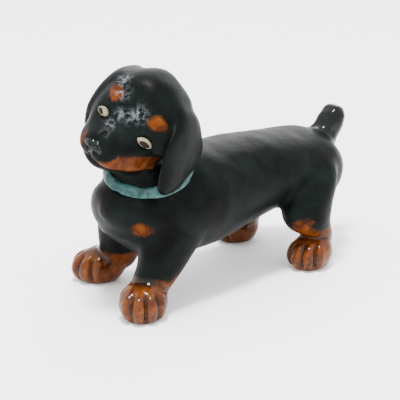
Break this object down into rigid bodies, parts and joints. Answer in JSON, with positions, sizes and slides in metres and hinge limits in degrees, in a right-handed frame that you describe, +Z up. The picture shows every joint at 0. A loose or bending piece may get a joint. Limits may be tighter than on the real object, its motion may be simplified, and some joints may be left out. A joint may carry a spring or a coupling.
{
  "type": "ceramic dog figurine",
  "caption": "Small free-standing glazed ceramic dachshund in black and tan, head cocked to its left, long body on short legs, stub tail raised and a teal collar round the neck.",
  "frame": {"origin": "on the plane of the four soles, under the middle of the dog's box", "axes": "+Z up; the dog looks along -Y with its tail at +Y; +X is the dog's own left"},
  "size_m": [0.0382, 0.0812, 0.0535],
  "materials": {
    "black_glaze": "satin black glaze with a thin grey-green sheen where it is worn or pooled",
    "gloss_glaze": "wet-looking gloss black glaze",
    "tan_glaze": "high gloss rust-brown glaze, darker in the grooves between the toes",
    "teal_glaze": "satin dark teal glaze",
    "eye_enamel": "gloss cream with a dark brown iris and a black pupil painted on"
  },
  "bodies": {
    "root": {"torso": "black_glaze", "head": "black_glaze", "ear_left": "black_glaze", "ear_right": "black_glaze", "nose": "gloss_glaze", "eye_left": "eye_enamel", "eye_right": "eye_enamel", "collar": "teal_glaze", "foreleg_left": "black_glaze", "foreleg_right": "black_glaze", "hind_leg_left": "black_glaze", "hind_leg_right": "black_glaze", "paw_front_left": "tan_glaze", "paw_front_right": "tan_glaze", "paw_hind_left": "tan_glaze", "paw_hind_right": "tan_glaze", "tail": "gloss_glaze"}
  },
  "joints": []
}
